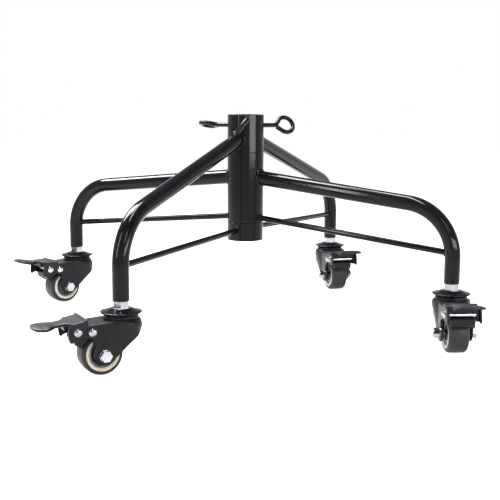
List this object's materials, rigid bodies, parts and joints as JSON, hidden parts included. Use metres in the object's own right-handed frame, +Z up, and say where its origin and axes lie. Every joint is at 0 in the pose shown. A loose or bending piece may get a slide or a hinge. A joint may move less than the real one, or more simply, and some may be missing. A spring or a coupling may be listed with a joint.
{
  "type": "folding four-legged rolling pole stand",
  "caption": "Folding cross-shaped rolling stand base: a central pole socket clamped by eye bolts, bent tube legs with brace rods, and braked swivel casters.",
  "frame": {"origin": "centre of the pole socket's mouth, at the hub's top face", "axes": "+Z up along the pole socket, out of its mouth; the fixed pair of legs lies at -135 and 45 degrees in XY; the floor is z = -0.290"},
  "size_m": [0.5547, 0.5573, 0.29],
  "materials": {
    "black_enamel": "gloss",
    "bright_steel": "bright zinc",
    "black_pressing": "satin",
    "cream_nylon": "satin",
    "black_tread": "satin",
    "black_plastic": "satin"
  },
  "bodies": {
    "fixed_frame": {"inner_tube": "black_enamel", "top_collar": "black_enamel", "bottom_collar": "black_enamel", "leg_front_left": "black_enamel", "leg_back_right": "black_enamel", "braces_fixed_pair": "black_enamel", "stem_inserts_fixed_pair": "bright_steel", "front_left_stem": "bright_steel", "front_left_top_plate": "black_pressing", "back_right_stem": "bright_steel", "back_right_top_plate": "black_pressing"},
    "folding_frame": {"middle_sleeve": "black_enamel", "leg_front_right": "black_enamel", "leg_back_left": "black_enamel", "braces_folding_pair": "black_enamel", "stem_inserts_folding_pair": "bright_steel", "front_right_stem": "bright_steel", "front_right_top_plate": "black_pressing", "back_left_stem": "bright_steel", "back_left_top_plate": "black_pressing"},
    "front_left_swivel": {"front_left_swivel_balls": "bright_steel", "front_left_fork": "black_pressing", "front_left_axle_bolt": "bright_steel", "front_left_brake_pins": "bright_steel"},
    "front_left_wheel": {"front_left_tread": "black_tread", "front_left_wheel_core": "cream_nylon", "front_left_bearings": "bright_steel"},
    "front_left_brake_pedal": {"front_left_pedal": "black_plastic"},
    "front_left_shoe": {"front_left_brake_shoe": "black_plastic"},
    "back_right_swivel": {"back_right_swivel_balls": "bright_steel", "back_right_fork": "black_pressing", "back_right_axle_bolt": "bright_steel", "back_right_brake_pins": "bright_steel"},
    "back_right_wheel": {"back_right_tread": "black_tread", "back_right_wheel_core": "cream_nylon", "back_right_bearings": "bright_steel"},
    "back_right_brake_pedal": {"back_right_pedal": "black_plastic"},
    "back_right_shoe": {"back_right_brake_shoe": "black_plastic"},
    "front_right_swivel": {"front_right_swivel_balls": "bright_steel", "front_right_fork": "black_pressing", "front_right_axle_bolt": "bright_steel", "front_right_brake_pins": "bright_steel"},
    "front_right_wheel": {"front_right_tread": "black_tread", "front_right_wheel_core": "cream_nylon", "front_right_bearings": "bright_steel"},
    "front_right_brake_pedal": {"front_right_pedal": "black_plastic"},
    "front_right_shoe": {"front_right_brake_shoe": "black_plastic"},
    "back_left_swivel": {"back_left_swivel_balls": "bright_steel", "back_left_fork": "black_pressing", "back_left_axle_bolt": "bright_steel", "back_left_brake_pins": "bright_steel"},
    "back_left_wheel": {"back_left_tread": "black_tread", "back_left_wheel_core": "cream_nylon", "back_left_bearings": "bright_steel"},
    "back_left_brake_pedal": {"back_left_pedal": "black_plastic"},
    "back_left_shoe": {"back_left_brake_shoe": "black_plastic"},
    "eye_screw_front": {"eye_bolt_front": "black_enamel"},
    "eye_screw_right": {"eye_bolt_right": "black_enamel"},
    "eye_screw_left": {"eye_bolt_left": "black_enamel"}
  },
  "joints": [
    {"name": "fold", "type": "hinge", "parent": "fixed_frame", "child": "folding_frame", "pos_m": [0, 0, -0.1], "axis": [0, 0, 1], "range_deg": [-50, 50]},
    {"name": "front_left_swivel_turn", "type": "hinge", "parent": "fixed_frame", "child": "front_left_swivel", "pos_m": [-0.21213, -0.21213, -0.23], "axis": [0, 0, 1], "continuous": true},
    {"name": "front_left_wheel_spin", "type": "hinge", "parent": "front_left_swivel", "child": "front_left_wheel", "pos_m": [-0.23823, -0.21673, -0.265], "axis": [0.1736, -0.9848, 0], "continuous": true},
    {"name": "front_left_pedal_press", "type": "hinge", "parent": "front_left_swivel", "child": "front_left_brake_pedal", "pos_m": [-0.26876, -0.22212, -0.2352], "axis": [0.1736, -0.9848, 0], "range_deg": [-15, 3]},
    {"name": "front_left_shoe_swing", "type": "hinge", "parent": "front_left_swivel", "child": "front_left_shoe", "pos_m": [-0.25152, -0.21908, -0.237], "axis": [0.1736, -0.9848, 0], "range_deg": [-10.05, 2.05]},
    {"name": "back_right_swivel_turn", "type": "hinge", "parent": "fixed_frame", "child": "back_right_swivel", "pos_m": [0.21213, 0.21213, -0.23], "axis": [0, 0, 1], "continuous": true},
    {"name": "back_right_wheel_spin", "type": "hinge", "parent": "back_right_swivel", "child": "back_right_wheel", "pos_m": [0.21167, 0.18564, -0.265], "axis": [0.9998, -0.0175, 0], "continuous": true},
    {"name": "back_right_pedal_press", "type": "hinge", "parent": "back_right_swivel", "child": "back_right_brake_pedal", "pos_m": [0.21113, 0.15464, -0.2352], "axis": [0.9998, -0.0175, 0], "range_deg": [0, 18]},
    {"name": "back_right_shoe_swing", "type": "hinge", "parent": "back_right_swivel", "child": "back_right_shoe", "pos_m": [0.21143, 0.17214, -0.237], "axis": [0.9998, -0.0175, 0], "range_deg": [-0.05, 12.05]},
    {"name": "front_right_swivel_turn", "type": "hinge", "parent": "folding_frame", "child": "front_right_swivel", "pos_m": [0.20802, -0.21616, -0.23], "axis": [0, 0, 1], "continuous": true},
    {"name": "front_right_wheel_spin", "type": "hinge", "parent": "front_right_swivel", "child": "front_right_wheel", "pos_m": [0.20139, -0.24182, -0.265], "axis": [0.9681, -0.2504, 0], "continuous": true},
    {"name": "front_right_pedal_press", "type": "hinge", "parent": "front_right_swivel", "child": "front_right_brake_pedal", "pos_m": [0.19362, -0.27183, -0.2352], "axis": [0.9681, -0.2504, 0], "range_deg": [0, 18]},
    {"name": "front_right_shoe_swing", "type": "hinge", "parent": "front_right_swivel", "child": "front_right_shoe", "pos_m": [0.198, -0.25489, -0.237], "axis": [0.9681, -0.2504, 0], "range_deg": [-0.05, 12.05]},
    {"name": "back_left_swivel_turn", "type": "hinge", "parent": "folding_frame", "child": "back_left_swivel", "pos_m": [-0.20802, 0.21616, -0.23], "axis": [0, 0, 1], "continuous": true},
    {"name": "back_left_wheel_spin", "type": "hinge", "parent": "back_left_swivel", "child": "back_left_wheel", "pos_m": [-0.23241, 0.20581, -0.265], "axis": [0.3907, -0.9205, 0], "continuous": true},
    {"name": "back_left_pedal_press", "type": "hinge", "parent": "back_left_swivel", "child": "back_left_brake_pedal", "pos_m": [-0.26095, 0.1937, -0.2352], "axis": [0.3907, -0.9205, 0], "range_deg": [-4, 14]},
    {"name": "back_left_shoe_swing", "type": "hinge", "parent": "back_left_swivel", "child": "back_left_shoe", "pos_m": [-0.24484, 0.20054, -0.237], "axis": [0.3907, -0.9205, 0], "range_deg": [-2.72, 9.38]},
    {"name": "eye_bolt_front_slide", "type": "slide", "parent": "fixed_frame", "child": "eye_screw_front", "axis": [0.3649, 0.9311, 0], "range_m": [0, 0.012]},
    {"name": "eye_bolt_right_slide", "type": "slide", "parent": "fixed_frame", "child": "eye_screw_right", "axis": [-0.9888, -0.1495, 0], "range_m": [0, 0.012]},
    {"name": "eye_bolt_left_slide", "type": "slide", "parent": "fixed_frame", "child": "eye_screw_left", "axis": [0.6239, -0.7815, 0], "range_m": [0, 0.012]}
  ],
  "couplings": [
    {"joint": "front_left_shoe_swing", "follows": "front_left_pedal_press", "ratio": 0.66667},
    {"joint": "back_right_shoe_swing", "follows": "back_right_pedal_press", "ratio": 0.66667},
    {"joint": "front_right_shoe_swing", "follows": "front_right_pedal_press", "ratio": 0.66667},
    {"joint": "back_left_shoe_swing", "follows": "back_left_pedal_press", "ratio": 0.66667}
  ]
}
